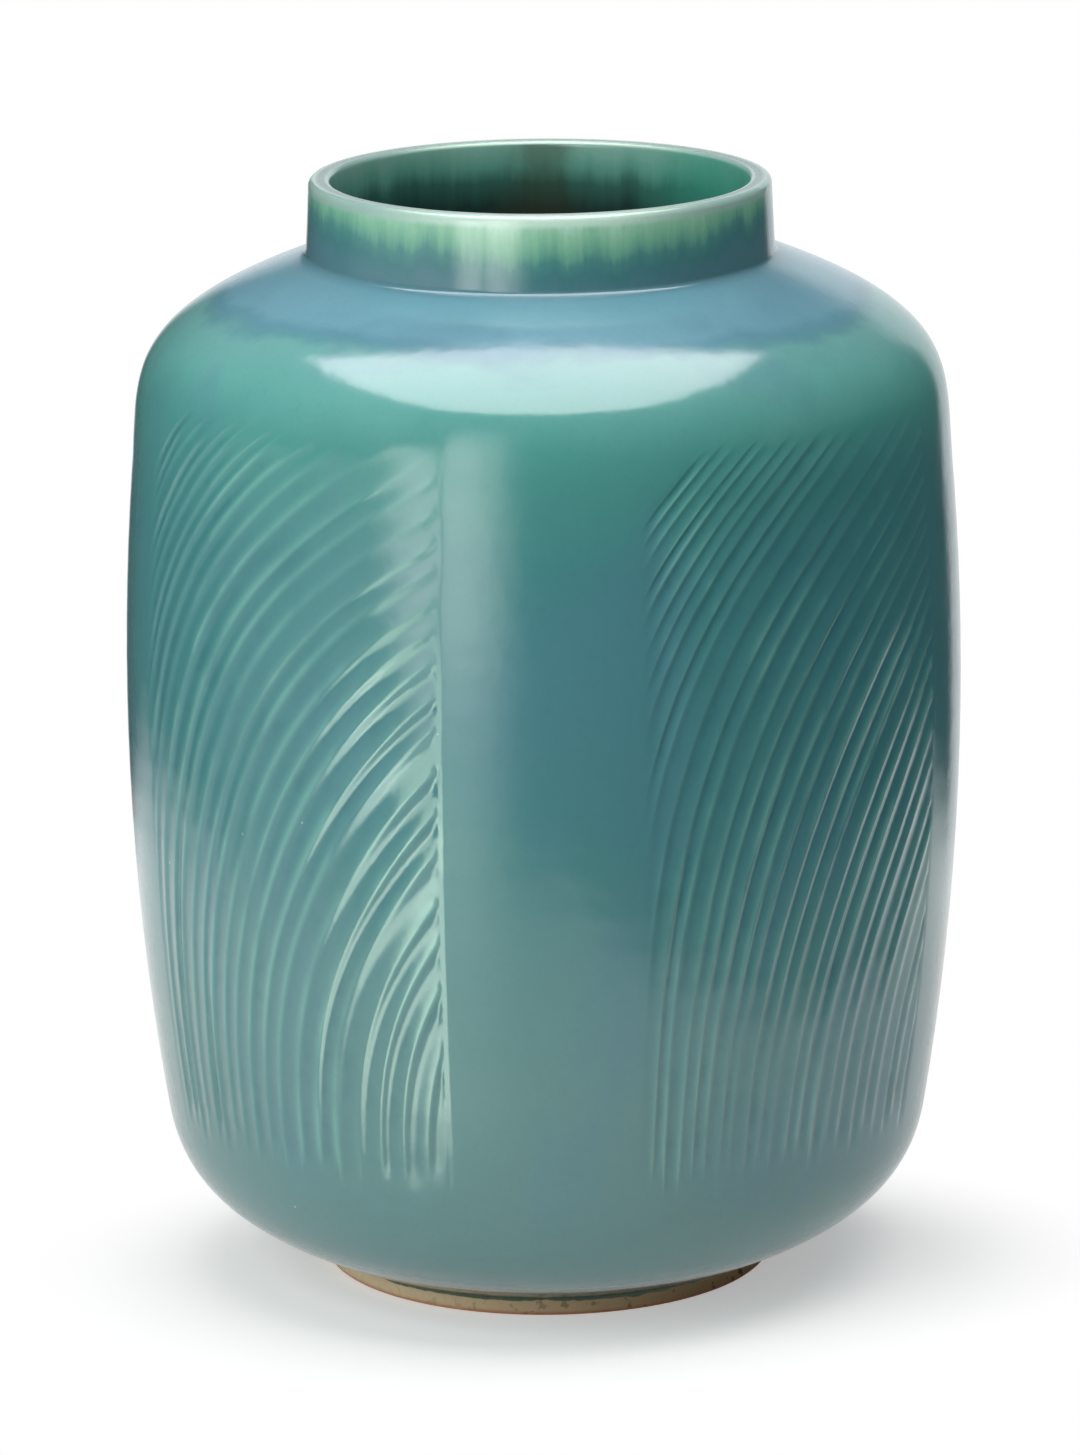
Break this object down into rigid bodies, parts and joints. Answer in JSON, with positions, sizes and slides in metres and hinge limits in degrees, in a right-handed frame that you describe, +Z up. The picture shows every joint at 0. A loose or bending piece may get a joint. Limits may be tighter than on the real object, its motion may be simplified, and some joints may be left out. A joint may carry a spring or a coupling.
{
  "type": "stoneware vessel",
  "caption": "Barrel-bodied stoneware jar with a rounded shoulder, short upright collar, panels of sweeping carved flutes and a low bare foot ring.",
  "frame": {"origin": "centre of the foot ring's resting face, on the vessel's axis", "axes": "+Z up along the vessel's axis to the mouth, -Y towards the side shown in the picture"},
  "size_m": [0.2038, 0.2038, 0.27],
  "materials": {
    "bare_clay": "matt bare fired clay",
    "body_glaze": "glossy celadon-blue glaze",
    "shoulder_glaze": "glossy glaze, bluer and paler",
    "neck_glaze": "glossy pale green glaze"
  },
  "bodies": {
    "root": {"foot_ring": "bare_clay", "base_floor": "body_glaze", "lower_wall": "body_glaze", "upper_wall": "body_glaze", "shoulder": "shoulder_glaze", "neck_collar": "neck_glaze"}
  },
  "joints": []
}
